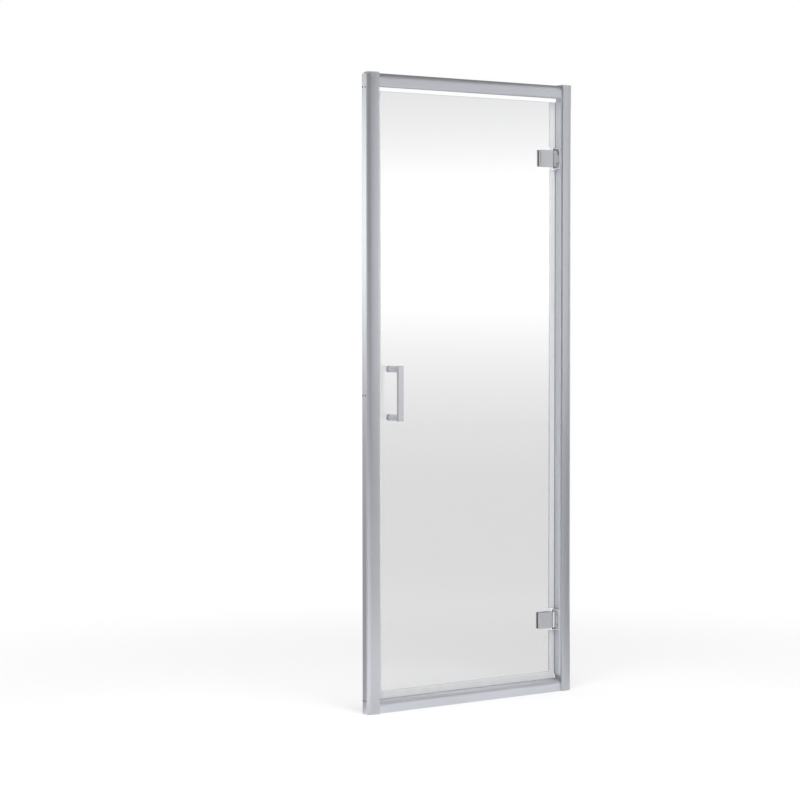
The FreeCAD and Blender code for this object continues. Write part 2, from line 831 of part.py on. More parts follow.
def handle_rosettes():
    """Round discs on the inside of the glass, bored for countersunk screws."""
    rosettes = []
    for height in leg_heights:
        rosette = rod((handle_x, rosette_front, height), along_y, leg_diameter, rosette_length)
        rim = [edge for edge in rosette.Edges if edge.BoundBox.YMin > rosette_back - rosette_length / 2]
        rosette = rosette.makeChamfer(rosette_chamfer, rim)
        start = (handle_x, rosette_back, height)
        rosettes.append(rosette.cut(sunk_hole(start, along_y * -1, handle_screw_diameter, handle_screw_head,
                                              rosette_length + past, hole_clearance)))
    return Part.makeCompound(rosettes)


def handle_screws():
    """Countersunk screws from the rosettes into the legs."""
    length = rosette_back - glass_front + handle_washer + handle_thread
    screws = []
    for height in leg_heights:
        screws.append(sunk_screw((handle_x, rosette_back, height), along_y * -1, handle_screw_diameter,
                                 handle_screw_head, length))
    return Part.makeCompound(screws)


def handle_sleeves():
    """Sleeves round the handle screws in the glass."""
    sleeves = [glass_sleeve(handle_x, height, handle_screw_diameter) for height in leg_heights]
    return Part.makeCompound(sleeves)


nodes = {}
for side_name, side in sides.items():
    nodes[side_name + "_wall_channel"] = wall_channel(side)
    nodes[side_name + "_post"] = post(side)
    nodes[side_name + "_post_cap"] = post_cap(side)
    nodes[side_name + "_lock_screws"] = lock_screws(side)
    nodes[side_name + "_lock_screw_caps"] = lock_caps(side)
for rail_name, base in rail_bases.items():
    nodes[rail_name + "_rail"] = rail(base)
nodes["rail_screws"] = rail_screws()
nodes["hinge_jamb"] = hinge_jamb()
nodes["strike_jamb"] = strike_jamb()
nodes["strike_magnet"] = magnet(-jamb_face - magnet_thickness, glass_bottom)
nodes["hinge_bracket_screws"] = bracket_screws()
for hinge_name, height in hinge_heights.items():
    nodes[hinge_name + "_hinge_bracket"] = hinge_bracket(height)
    nodes[hinge_name + "_hinge_pin"] = hinge_pin(height)
    nodes[hinge_name + "_hinge_bushes"] = hinge_bushes(height)
    nodes[hinge_name + "_hinge_plate"] = hinge_plate(height)
    nodes[hinge_name + "_hinge_inner_plate"] = inner_plate(height)
    nodes[hinge_name + "_hinge_gaskets"] = hinge_gaskets(height)
    nodes[hinge_name + "_hinge_sleeves"] = hinge_sleeves(height)
    nodes[hinge_name + "_hinge_clamp_screws"] = clamp_screws(height)
nodes["glass_panel"] = glass_panel()
nodes["drip_seal"] = drip_seal()
nodes["hinge_side_seal"] = hinge_side_seal()
nodes["magnet_seal"] = magnet_seal()
nodes["leaf_magnet"] = magnet(seal_jamb_gap - jamb_face + magnet_cover + seal_clearance, seal_bottom)
nodes["handle_bar"] = handle_bar()
nodes["handle_legs"] = handle_legs()
nodes["handle_washers"] = handle_washers()
nodes["handle_rosettes"] = handle_rosettes()
nodes["handle_screws"] = handle_screws()
nodes["handle_sleeves"] = handle_sleeves()

os.makedirs("parts", exist_ok=True)
for name, shape in nodes.items():
    shape.exportStep("parts/" + name + ".step")
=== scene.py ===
import contextlib
import json
import math

import bmesh
import bpy
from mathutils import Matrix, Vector


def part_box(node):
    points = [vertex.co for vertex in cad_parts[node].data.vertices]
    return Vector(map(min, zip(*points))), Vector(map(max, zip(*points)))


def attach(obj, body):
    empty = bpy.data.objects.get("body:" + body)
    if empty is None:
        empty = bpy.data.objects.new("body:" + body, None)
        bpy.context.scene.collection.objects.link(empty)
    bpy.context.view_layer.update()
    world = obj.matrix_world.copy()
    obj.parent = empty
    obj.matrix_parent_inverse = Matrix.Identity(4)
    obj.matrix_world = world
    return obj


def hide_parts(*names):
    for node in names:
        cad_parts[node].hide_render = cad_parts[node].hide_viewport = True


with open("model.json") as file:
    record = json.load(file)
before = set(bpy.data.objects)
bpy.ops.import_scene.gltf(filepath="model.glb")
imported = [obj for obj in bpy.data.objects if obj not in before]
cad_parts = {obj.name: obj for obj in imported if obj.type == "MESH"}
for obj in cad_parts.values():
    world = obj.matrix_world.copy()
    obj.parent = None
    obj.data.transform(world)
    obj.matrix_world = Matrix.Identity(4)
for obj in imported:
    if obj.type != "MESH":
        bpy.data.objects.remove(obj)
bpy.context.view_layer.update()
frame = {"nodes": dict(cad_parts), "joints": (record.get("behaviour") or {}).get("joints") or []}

# Hinged shower door. Metres, in the frame's axes: X along the door, -Y outside, Z up.
mm = 0.001

# Drawing, with the shares of a direction that count as along an axis and as across it
arc_step = 0.7 * mm
small_round = 0.8 * mm
soft_edge = 0.25 * mm
near = 0.01 * mm
past = 1.0 * mm
turn_steps = 64
mostly = 0.9
hardly = 0.1
smooth_angle = math.radians(32)
soften_angle = math.radians(40)
soften_steps = 2

# Posts and wall channels, measured from the wall face and out from the middle plane
wall_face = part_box("hinge_wall_channel")[1].x
opening_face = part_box("hinge_post")[0].x
post_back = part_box("hinge_post")[1].y
post_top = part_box("hinge_post")[1].z
tongue_start = 6.0 * mm
tongue_back = 12.7 * mm
tongue_front = 7.2 * mm
shoulder = 26.0 * mm
lip_start = 1.0 * mm
lip_back = 9.8 * mm
lip_front = 10.9 * mm
lip_round = 0.42 * mm
brow_reach = 7.0 * mm
brow_depth = 15.0 * mm
brow_round = 3.26 * mm
nose_depth = 18.4 * mm
nose_crest = 24.0 * mm
nose_crest_round = 12.0 * mm
nose_corner_round = 1.5 * mm
post_wall = 1.8 * mm
lip_room_slack = 0.6 * mm
cap_round = 0.6 * mm
cap_plug_gap = 0.2 * mm
channel_wall = 2.0 * mm
channel_round = 3.0 * mm
channel_bend = 1.0 * mm
wall_hole_radius = 2.5 * mm
hole_shade = 0.6 * mm
wall_hole_rows = (-3.5 * mm, 9.5 * mm)
wall_hole_levels = (39.0 * mm, 922.5 * mm, 1806.0 * mm)
lock_hole_radius = 2.25 * mm
lock_line = 364.0 * mm
lock_levels = (150.0 * mm, 1072.5 * mm, 1695.0 * mm)
lock_pocket_radius = 4.0 * mm
lock_pocket_depth = 2.65 * mm
lock_cover_round = 1.2 * mm
lock_cover_steps = 6

# Rails and the strip under the hinges
rail_wall = 1.8 * mm
rail_round = 16.0 * mm
rail_foot_round = 2.0 * mm
jamb_wall = 1.5 * mm
jamb_rib_front = -12.5 * mm
jamb_rib_back = -2.5 * mm

# Glass and seals
glass_low, glass_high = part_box("glass_panel")
glass_arris = 0.5 * mm
glass_edge_shade = 2.0 * mm
glass_hole_radius = 5.0 * mm
seal_wall = 1.2 * mm
seal_play = 0.1 * mm
seal_lip_round = 0.5 * mm
seal_hinge_room = 3.2 * mm
bulb_half = 3.0 * mm
bulb_round = 2.4 * mm
drip_lip_step = 4.6 * mm
drip_lip_height = 8.0 * mm
magnet_half = 2.6 * mm
magnet_cover = 0.6 * mm
magnet_depth = 3.7 * mm

# Hinges
hinge_names = ("lower", "upper")
pin_axis = Vector(frame["joints"][0]["pos_m"])
hinge_levels = (220.0 * mm, 1627.0 * mm)
clamp_line = 292.68 * mm
knuckle_radius = 5.06 * mm
knuckle_steps = 44
knuckle_bore = 3.56 * mm
plate_front = 4.0 * mm
plate_bevel_width = 4.0 * mm
plate_bevel_depth = 2.0 * mm
plate_rim = 0.8 * mm
inner_plate_round = 1.6 * mm
bracket_base = 3.0 * mm
bracket_half = 30.8 * mm
bracket_screw_row = -7.5 * mm
ear_thickness = 2.5 * mm
ear_front = 5.56 * mm
ear_front_reach = 2.2 * mm
ear_back_reach = 5.3 * mm
pin_radius = 2.5 * mm
pin_head_height = 1.2 * mm
clamp_spread = 28.0 * mm
bracket_screw_spread = 30.0 * mm
sunk_radius = 4.75 * mm
sunk_bore = 2.75 * mm
sunk_depth = 2.0 * mm

# Handle
handle_line = -283.0 * mm
handle_levels = (856.5 * mm, 997.5 * mm)
bar_round = 1.4 * mm
leg_radius = 9.5 * mm
leg_neck = 0.5 * mm
rosette_rim = 1.0 * mm

# Camera, at the photograph's angle
camera_place = (-4.1802, -5.4669, 1.1827)
camera_tilt = math.radians(87.655)
camera_roll = math.radians(0.04)
camera_turn = math.radians(-35.676)
camera_lens = 104.30
camera_sensor = 36.0

# Finishes: reliefs, die lines per metre, levels, and the slight casts of greys in red, green and blue
fine_relief = 0.02 * mm
faint_relief = 0.01 * mm
die_line_grain = 1300.0
die_line_stretch = 5.0
tone_spread = 0.06
# near-black colour of the painted shade inside the wall channels and their holes
channel_shade_level = 0.06
# lighter colour of the painted highlight on the hinge knuckles
knuckle_highlight_level = 0.97
aluminium_cast = (0.92, 0.94, 1.0)
chrome_cast = (0.945, 0.955, 1.0)
silver_cast = (0.96, 0.97, 1.0)
seal_cast = (0.985, 0.99, 1.0)
glass_tint = (0.765, 0.766, 0.775, 1.0)
glass_edge_tint = (0.70, 0.76, 0.735, 1.0)
glass_pass = 0.94

# Soft light on dull surfaces, and the lamp above
soft_light = 0.55
lamp_power = 230.0
lamp_size = 4.0
lamp_place = (-1.6, -2.4, 4.4)
lamp_aim = (0.0, 0.0, 0.8)

# Panels that only reflections see: name, place, aim, width, height, power
mirrored_panels = (
    ("side_panel", (-1.75, 0.79, 1.47), (-0.38, 0.0, 1.47), 2.3, 0.8, 6.6),
    ("rail_panel", (1.85, -0.53, 2.4), (1.85, -0.53, 0.0), 1.5, 1.1, 7.0),
    ("back_panel", (1.56, 0.23, 0.9), (0.38, 0.0, 0.9), 0.75, 2.0, 6.0),
    ("front_panel", (0.30, -1.26, 1.35), (-0.36, 0.0, 1.35), 0.32, 1.1, 1.35),
    ("front_panel", (1.38, -0.955, 1.35), (0.36, 0.0, 1.35), 0.32, 1.1, 1.1),
)

# Floor as it is seen
floor_size = 26.0
floor_light = 0.4
shadow_edge = (0.9, 2.4)

# Floor as reflections see it: strengths, and the stretches over which they change
pool_place = (-0.3, -0.9, 0.0)
pool_reach = 1.7
pool_strength = 1.05
pool_front_loss = 0.40
pool_front = (-0.6, -0.05)
pool_behind_loss = 0.45
pool_behind = (-0.02, 0.12)
left_strength = 0.60
left_turn = (0.0, 0.5)
left_start = (0.30, 0.50)
left_behind_loss = 0.42
left_behind = (-0.1, 0.15)
close_strength = 0.30
close_edge = (0.45, 0.9)
close_behind = (-0.05, 0.10)
far_least = 0.06
far_strength = 0.50
far_edge = (7.0, 16.0)

# Air as reflections see it: a low band of light where the glass mirrors it, and weak light around
mirror_x = 0.616
mirror_y = 0.788
band_turn = (0.985, 0.995)
band_rise = (-0.09, 0.03)
band_rise_bend = 2.1
band_rise_strength = 6.6
band_fall = (0.14, 0.04)
band_fall_bend = 2.6
band_fall_strength = 5.0
band_most = 4.0
band_spill = 0.02
air_least = 0.06
air_low_strength = 0.24
air_low = (-0.02, 0.08)
air_high_loss = 0.12
air_high = (0.2, 0.8)
right_strength = 0.20
right_turn = (0.94, 1.0)
back_strength = 0.12
back_turn = (0.3, 0.95)


def only(piece):
    """Selects one piece and makes it the active one."""
    bpy.ops.object.select_all(action="DESELECT")
    piece.select_set(True)
    bpy.context.view_layer.objects.active = piece


@contextlib.contextmanager
def editing(piece):
    """Edit mode on one piece, with nothing selected in it."""
    only(piece)
    bpy.ops.object.mode_set(mode="EDIT")
    bpy.ops.mesh.select_mode(type="VERT")
    bpy.ops.mesh.select_all(action="DESELECT")
    yield
    bpy.ops.object.mode_set(mode="OBJECT")


def settled(name):
    """Names the primitive that was just added and moves its place into its mesh."""
    piece = bpy.context.object
    piece.name = name
    piece.data.name = name
    bpy.ops.object.transform_apply(location=True, rotation=True, scale=True)
    return piece


def block(name, low, high):
    """Box between two corners."""
    low, high = Vector(low), Vector(high)
    bpy.ops.object.select_all(action="DESELECT")
    bpy.ops.mesh.primitive_cube_add(size=1, location=(low + high) / 2, scale=high - low)
    return settled(name)


def start_at(name, point):
    """Small face that a drawn outline grows from."""
    bpy.ops.object.select_all(action="DESELECT")
    bpy.ops.mesh.primitive_plane_add(size=past, location=point)
    return settled(name)


def draw(points):
    """In edit mode, shrinks the start face to a point and extrudes it from point to point."""
    bpy.ops.mesh.select_all(action="SELECT")
    bpy.ops.mesh.merge(type="CENTER")
    for here, there in zip(points, points[1:]):
        bpy.ops.mesh.extrude_region_move(TRANSFORM_OT_translate={"value": there - here})
    bpy.ops.mesh.select_all(action="SELECT")


def choose(kind, test):
    """In edit mode, selects the edges or faces that pass a test on their middle and direction."""
    bpy.ops.mesh.select_mode(type=kind)
    bpy.ops.mesh.select_all(action="DESELECT")
    mesh = bmesh.from_edit_mesh(bpy.context.object.data)
    if kind == "EDGE":
        facts = [(edge, (edge.verts[0].co + edge.verts[1].co) / 2,
                  (edge.verts[1].co - edge.verts[0].co).normalized()) for edge in mesh.edges]
    else:
        facts = [(face, face.calc_center_median(), face.normal) for face in mesh.faces]
    for part, middle, direction in facts:
        if test(middle, direction):
            part.select_set(True)
    mesh.select_flush_mode()
    bmesh.update_edit_mesh(bpy.context.object.data)


def round_edges(test, reach, segments=None):
    """In edit mode, rounds the edges that pass a test."""
    choose("EDGE", test)
    steps = segments or 2 + round(reach / arc_step)
    bpy.ops.mesh.bevel(offset_type="OFFSET", offset=reach, segments=steps, profile=0.5, affect="EDGES")


def face_out():
    """In edit mode, turns all faces outwards."""
    bpy.ops.mesh.select_all(action="SELECT")
    bpy.ops.mesh.normals_make_consistent(inside=False)


def spot(axis, u, v, along):
    """Point from two section measures and a distance along an axis."""
    return Vector({"X": (along, u, v), "Y": (u, along, v), "Z": (u, v, along)}[axis])


def prism(name, corners, axis, low, high):
    """Section drawn through corners (u, v, rounding), pulled along an axis and rounded."""
    section = [spot(axis, u, v, low) for u, v, rounding in corners]
    piece = start_at(name, section[0])
    with editing(piece):
        draw(section)
        bpy.ops.mesh.edge_face_add()
        bpy.ops.mesh.extrude_region_move(TRANSFORM_OT_translate={"value": spot(axis, 0, 0, high - low)})
        face_out()
        for u, v, rounding in corners:
            if rounding:
                place = spot(axis, u, v, (low + high) / 2)
                round_edges(lambda middle, direction: (middle - place).length < near, rounding)
    return piece


def hollow_out(piece, axis, wall):
    """Opens a prism from end to end, leaving a wall."""
    number = "XYZ".index(axis)
    with editing(piece):
        choose("FACE", lambda middle, normal: abs(normal[number]) > mostly)
        bpy.ops.mesh.inset(thickness=wall)
        bpy.ops.mesh.bridge_edge_loops()
        face_out()
    return piece


def turned(name, profile, foot, axis):
    """Profile (radius, distance along) drawn beside an axis and spun round it."""
    foot, along = Vector(foot), Vector(axis)
    across = along.orthogonal().normalized()
    points = [foot + across * radius + along * distance for radius, distance in profile]
    piece = start_at(name, points[0])
    with editing(piece):
        draw(points)
        bpy.ops.mesh.spin(steps=turn_steps, angle=2 * math.pi, center=foot, axis=along)
        bpy.ops.mesh.select_all(action="SELECT")
        bpy.ops.mesh.remove_doubles(threshold=near / 10)
        face_out()
    return piece


def rod(start, axis, radius, length):
    """Plain round cutter."""
    return turned("cutter", [(0, 0), (radius, 0), (radius, length), (0, length)], start, axis)


def sunk_cutter(face, axis, length):
    """Cutter for a countersunk screw whose head lies in a face."""
    profile = [(0, -past), (sunk_radius, -past), (sunk_radius, 0), (sunk_bore, sunk_depth),
               (sunk_bore, length), (0, length)]
    return turned("cutter", profile, face, axis)


def cut(piece, *cutters):
    """Takes the shapes of cutters out of a piece."""
    for cutter in cutters:
        only(piece)
        bpy.ops.object.modifier_add(type="BOOLEAN")
        step = piece.modifiers[-1]
        step.operation = "DIFFERENCE"
        step.solver = "EXACT"
        step.object = cutter
        bpy.ops.object.modifier_apply(modifier=step.name)
        bpy.data.meshes.remove(cutter.data)
    return piece


def copied(piece, name, shift):
    """Separate copy of a piece, moved in its mesh."""
    only(piece)
    bpy.ops.object.duplicate(linked=False)
    twin = bpy.context.object
    twin.name = name
    twin.data.name = name
    with editing(twin):
        bpy.ops.mesh.select_all(action="SELECT")
        bpy.ops.transform.translate(value=shift)
    return twin


def joined(pieces):
    """One piece from several."""
    only(pieces[0])
    for piece in pieces[1:]:
        piece.select_set(True)
    if len(pieces) > 1:
        bpy.ops.object.join()
    return pieces[0]


def softened(piece, width=soft_edge):
    """Breaks the sharp edges of a piece."""
    only(piece)
    bpy.ops.object.modifier_add(type="BEVEL")
    step = piece.modifiers[-1]
    step.limit_method = "ANGLE"
    step.angle_limit = soften_angle
    step.width = width
    step.segments = soften_steps
    bpy.ops.object.modifier_apply(modifier=step.name)
    return piece


def dressed(piece, finish, slot, body, *nodes):
    """Shades a finished piece, gives it its finish and puts it in the place of its nodes."""
    only(piece)
    bpy.ops.object.shade_smooth_by_angle(angle=smooth_angle)
    bpy.ops.object.modifier_add(type="WEIGHTED_NORMAL")
    piece.modifiers[-1].keep_sharp = True
    bpy.ops.object.modifier_apply(modifier=piece.modifiers[-1].name)
    piece.data.materials.clear()
    piece.data.materials.append(finish)
    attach(piece, body)
    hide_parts(*nodes)
    return piece


class Wire:
    """A node's output that adds Math nodes when it is used in an expression."""

    def __init__(self, board, socket):
        self.board = board
        self.socket = socket

    def math(self, operation, first, second):
        """Output of a Math node."""
        return self.board.add("ShaderNodeMath", {"operation": operation}, {0: first, 1: second})

    def __add__(self, other):
        return self.math("ADD", self, other)

    def __sub__(self, other):
        return self.math("SUBTRACT", self, other)

    def __rsub__(self, other):
        return self.math("SUBTRACT", other, self)

    def __mul__(self, other):
        return self.math("MULTIPLY", self, other)

    def __pow__(self, other):
        return self.math("POWER", self, other)

    def __rpow__(self, other):
        return self.math("POWER", other, self)

    __radd__ = __add__
    __rmul__ = __mul__


class Board:
    """The nodes of one finish, of the floor or of the world."""

    def __init__(self, owner):
        owner.use_nodes = True
        self.tree = owner.node_tree
        self.tree.nodes.clear()

    def add(self, kind, settings=None, sockets=None, out=0):
        """Makes a node, sets it up, feeds its sockets and returns one of its outputs."""
        node = self.tree.nodes.new(kind)
        for name, value in (settings or {}).items():
            setattr(node, name, value)
        for name, value in (sockets or {}).items():
            if isinstance(value, Wire):
                self.tree.links.new(value.socket, node.inputs[name])
            else:
                node.inputs[name].default_value = value
        return Wire(self, node.outputs[out]) if len(node.outputs) else node

    def place(self):
        """Where a point lies on the piece."""
        return self.add("ShaderNodeTexCoord", out="Object")

    def split(self, vector, axes):
        """Components of a vector along the axes named."""
        return [self.add("ShaderNodeSeparateXYZ", {}, {"Vector": vector}, axis) for axis in axes]

    def noise(self, stretch, detail=3.0):
        """Noise whose grain is given per metre along X, Y and Z."""
        spread = self.add("ShaderNodeMapping", {}, {"Vector": self.place(), "Scale": stretch})
        return self.add("ShaderNodeTexNoise", {}, {"Vector": spread, "Scale": 1.0, "Detail": detail}, "Fac")

    def mix(self, share, first, second):
        """Colour between two colours."""
        return self.add("ShaderNodeMix", {"data_type": "RGBA"}, {0: share, 6: first, 7: second}, 2)

    def tones(self, share, level, cast):
        """Colour that varies a little round a level."""
        return self.mix(share, grey(level - tone_spread, cast), grey(level + tone_spread, cast))

    def ramp(self, value, start, end):
        """Smooth step from 0 to 1."""
        return self.add("ShaderNodeMapRange", {"interpolation_type": "SMOOTHSTEP"},
                        {"Value": value, "From Min": start, "From Max": end})

    def slope(self, value, start, end):
        """Straight step from 0 to 1."""
        return self.add("ShaderNodeMapRange", {}, {"Value": value, "From Min": start, "From Max": end})

    def least(self, first, second):
        """The lower of two values."""
        return self.add("ShaderNodeMath", {"operation": "MINIMUM"}, {0: first, 1: second})

    def bump(self, height, depth, strength):
        """Normal of a fine relief."""
        return self.add("ShaderNodeBump", {}, {"Strength": strength, "Distance": depth, "Height": height})

    def surface(self, shader):
        """Ends a finish with a shader."""
        self.add("ShaderNodeOutputMaterial", {}, {"Surface": shader})


def grey(level, cast=(1.0, 1.0, 1.0)):
    """Colour of one level with a slight cast."""
    return (*(level * share for share in cast), 1.0)


def new_finish(name):
    """Material and its board."""
    finish = bpy.data.materials.new(name)
    return finish, Board(finish)


def channel_shade_mask(board):
    """Where a post sits in its wall channel: the mask of a painted shade that darkens the post's tongue, the
    inside of the channel and the walls of its holes.
    """
    across, deep = board.split(board.place(), "XY")
    across = board.add("ShaderNodeMath", {"operation": "ABSOLUTE"}, {0: across})
    mouth = wall_face - shoulder
    inside = board.ramp(across, mouth, mouth + past)
    inside = inside * (1.0 - board.ramp(across, wall_face - hole_shade, wall_face - soft_edge))
    inside = inside * board.ramp(deep, -tongue_front - past, -tongue_front)
    return inside * (1.0 - board.ramp(deep, tongue_back, post_back))


def satin_aluminium(name, grain, level, roughness, shade_inside_channel=False):
    """Anodised aluminium with die lines along the grain, and a painted shade that makes it nearly black
    inside a wall channel.
    """
    finish, board = new_finish(name)
    stretch = [die_line_stretch if axis == grain else die_line_grain for axis in "XYZ"]
    lines = board.noise(stretch, 4.0)
    clouds = board.noise((11.0, 11.0, 4.0), 2.0)
    tone = 0.55 * lines + 0.45 * clouds
    colour = board.tones(tone, level, aluminium_cast)
    # painted shade inside the wall channel, so that the wall holes look dark
    if shade_inside_channel:
        colour = board.mix(channel_shade_mask(board), colour, grey(channel_shade_level))
    board.surface(board.add("ShaderNodeBsdfPrincipled", {}, {
        "Base Color": colour,
        "Metallic": 1.0,
        "Roughness": roughness + 0.12 * lines + 0.06 * clouds,
        "Normal": board.bump(lines, fine_relief, 0.25),
    }))
    return finish


def chrome(name, level, roughness, metallic=1.0, knuckle=False):
    """Softly polished chrome with faint wipe marks, and a painted highlight that makes a hinge's knuckle
    lighter.
    """
    finish, board = new_finish(name)
    brushed = board.noise((260.0, 260.0, 2600.0), 3.0)
    wiped = board.noise((45.0, 45.0, 70.0), 4.0)
    colour = board.tones(wiped, level, chrome_cast)
    # painted highlight: the knuckle's barrel is made lighter than the rest of the plate
    if knuckle:
        across, = board.split(board.place(), "X")
        barrel_highlight = board.ramp(across, pin_axis.x - knuckle_radius - past, pin_axis.x - knuckle_radius)
        colour = board.mix(barrel_highlight, colour, grey(knuckle_highlight_level))
    board.surface(board.add("ShaderNodeBsdfPrincipled", {}, {
        "Base Color": colour,
        "Metallic": metallic,
        "Roughness": roughness + 0.10 * wiped + 0.04 * brushed,
        "Normal": board.bump(brushed, faint_relief, 0.12),
    }))
    return finish


def steel():
    """Plain stainless steel of screws and pins."""
    finish, board = new_finish("plain_steel")
    worn = board.noise((700.0, 700.0, 700.0), 3.0)
    board.surface(board.add("ShaderNodeBsdfPrincipled", {}, {
        "Base Color": board.mix(worn, grey(0.52), grey(0.68)),
        "Metallic": 1.0,
        "Roughness": 0.26 + 0.16 * worn,
        "Normal": board.bump(worn, faint_relief, 0.2),
    }))
    return finish


def moulded(name, dark, light, roughness):
    """Moulded plastic or rubber with a fine grain, between two levels."""
    finish, board = new_finish(name)
    grain = board.noise((1500.0, 1500.0, 1500.0), 2.0)
    clouds = board.noise((60.0, 60.0, 60.0), 3.0)
    board.surface(board.add("ShaderNodeBsdfPrincipled", {}, {
        "Base Color": board.mix(0.4 * grain + 0.6 * clouds, grey(dark), grey(light)),
        "Roughness": roughness + 0.12 * clouds,
        "Normal": board.bump(grain, fine_relief, 0.3),
    }))
    return finish


def silver_plastic():
    """Silver moulding of the caps, with its flakes."""
    finish, board = new_finish("silver_plastic")
    flakes = board.noise((2600.0, 2600.0, 2600.0), 2.0)
    clouds = board.noise((40.0, 40.0, 40.0), 3.0)
    board.surface(board.add("ShaderNodeBsdfPrincipled", {}, {
        "Base Color": board.mix(flakes, grey(0.46, silver_cast), grey(0.64, silver_cast)),
        "Metallic": 0.75,
        "Roughness": 0.36 + 0.12 * clouds,
        "Normal": board.bump(flakes, faint_relief, 0.2),
    }))
    return finish


def clear_seal(name, tint, opacity):
    """Translucent soft plastic with faint draw lines."""
    finish, board = new_finish(name)
    lines = board.noise((900.0, 900.0, 14.0), 3.0)
    clouds = board.noise((30.0, 30.0, 12.0), 3.0)
    board.surface(board.add("ShaderNodeBsdfPrincipled", {}, {
        "Base Color": board.mix(clouds, grey(tint * 0.94, seal_cast), grey(tint, seal_cast)),
        "Roughness": 0.30 + 0.12 * lines,
        "Alpha": opacity + 0.08 * clouds,
        "Normal": board.bump(lines, fine_relief, 0.2),
    }))
    return finish


def clear_glass():
    """Toughened glass with a clear coat that sheds water, greener at its top and bottom edges."""
    finish, board = new_finish("clear_glass")
    height, = board.split(board.place(), "Z")
    edge = board.ramp(height, glass_high.z - glass_edge_shade, glass_high.z) + 1.0
    edge = edge - board.ramp(height, glass_low.z, glass_low.z + glass_edge_shade)
    body = board.add("ShaderNodeBsdfPrincipled", {}, {
        "Base Color": board.mix(edge, glass_tint, glass_edge_tint),
        "Roughness": 0.0,
        "IOR": 1.5,
        "Transmission Weight": 1.0,
        "Coat Weight": 1.0,
        "Coat Roughness": 0.0,
    })
    passing = board.add("ShaderNodeBsdfTransparent", {}, {"Color": grey(glass_pass)})
    lamp_ray = board.add("ShaderNodeLightPath", out="Is Shadow Ray")
    board.surface(board.add("ShaderNodeMixShader", {}, {0: lamp_ray, 1: body, 2: passing}))
    return finish


# The four aluminium finishes are one anodised aluminium at different levels, and the five chrome finishes one
# chrome at different levels and metallic shares. This is painted light and shade: the wall channels, rails
# and hinge strip are made lighter than the posts, and the handle, brackets, rosettes and legs lighter than
# the hinge plates, to stand in for how each part is lit.
upright_aluminium = satin_aluminium("upright_aluminium", "Z", level=0.86, roughness=0.37)
channel_aluminium = satin_aluminium("channel_aluminium", "Z", level=0.92, roughness=0.37, shade_inside_channel=True)
post_aluminium = satin_aluminium("post_aluminium", "Z", level=0.72, roughness=0.37, shade_inside_channel=True)
level_aluminium = satin_aluminium("level_aluminium", "X", level=0.92, roughness=0.46)
soft_chrome = chrome("soft_chrome", level=0.82, roughness=0.38)
plate_chrome = chrome("plate_chrome", level=0.73, roughness=0.38, knuckle=True)
painted_lighter_chrome = chrome("painted_lighter_chrome", level=0.88, roughness=0.42, metallic=0.67)
bracket_chrome = chrome("bracket_chrome", level=0.79, roughness=0.42, metallic=0.72)
leg_chrome = chrome("leg_chrome", level=0.74, roughness=0.40, metallic=0.80)
plain_steel = steel()
cap_silver = silver_plastic()
glass_finish = clear_glass()
seal_finish = clear_seal("seal_plastic", tint=0.84, opacity=0.50)
sleeve_finish = clear_seal("clear_plastic", tint=0.84, opacity=0.60)
washer_finish = clear_seal("washer_silicone", tint=0.78, opacity=0.55)
gasket_finish = moulded("gasket_rubber", dark=0.22, light=0.30, roughness=0.55)
magnet_finish = moulded("magnet_rubber", dark=0.10, light=0.14, roughness=0.60)
nylon_finish = moulded("dark_nylon", dark=0.07, light=0.11, roughness=0.45)


def from_wall(side, corners):
    """Section corners measured from a wall face, moved to the strike or hinge side."""
    return [(side * (wall_face - reach), y, rounding) for reach, y, rounding in corners]


def wall_channel(name, side):
    """U channel with rounded wall corners, wall holes and lock screw holes."""
    low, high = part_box(name + "_wall_channel")
    depth = high.x - low.x
    inner_front, inner_back = low.y + channel_wall, high.y - channel_wall
    corners = [
        (0, high.y, channel_round), (depth, high.y, 0), (depth, inner_back, 0),
        (channel_wall, inner_back, channel_bend), (channel_wall, inner_front, channel_bend),
        (depth, inner_front, 0), (depth, low.y, 0), (0, low.y, channel_round),
    ]
    channel = softened(prism("channel_" + name, from_wall(side, corners), "Z", low.z, high.z))
    reach = channel_wall + 2 * past
    for level in wall_hole_levels:
        for row in wall_hole_rows:
            start = (side * (wall_face + past), row, level)
            cut(channel, rod(start, (-side, 0, 0), wall_hole_radius, reach))
    for level in lock_levels:
        start = (side * lock_line, inner_back - past, level)
        cut(channel, rod(start, (0, 1, 0), lock_hole_radius, reach))
    dressed(channel, channel_aluminium, "satin_aluminium", "frame", name + "_wall_channel")


def post_section(slot):
    """Corners of a post's outside, with those of the slot behind its lip."""
    inner = wall_face - opening_face
    front = [
        (tongue_start, tongue_back, small_round),
        (shoulder, tongue_back, 0),
        (shoulder, post_back, small_round),
        (inner, post_back, small_round),
        (inner, -nose_depth, nose_corner_round),
        (nose_crest, -nose_depth, nose_crest_round),
        (brow_reach, -brow_depth, brow_round),
        (lip_start, -lip_front, lip_round),
    ]
    return front + slot + [(tongue_start, -tongue_front, small_round)]


def post_hollows(side, gap, low, high):
    """The two hollows of a post, made smaller by a gap."""
    inner = wall_face - opening_face
    rooms = [
        (tongue_start + post_wall, shoulder - post_wall / 2,
         post_wall - tongue_front, tongue_back - post_wall),
        (shoulder + post_wall / 2, inner - post_wall,
         post_wall - nose_depth, post_back - post_wall),
    ]
    blocks = []
    for near_wall, far, front, back in rooms:
        ends = sorted(side * (wall_face - reach) for reach in (near_wall + gap, far - gap))
        blocks.append(block("hollow", (ends[0], front + gap, low), (ends[1], back - gap, high)))
    return blocks


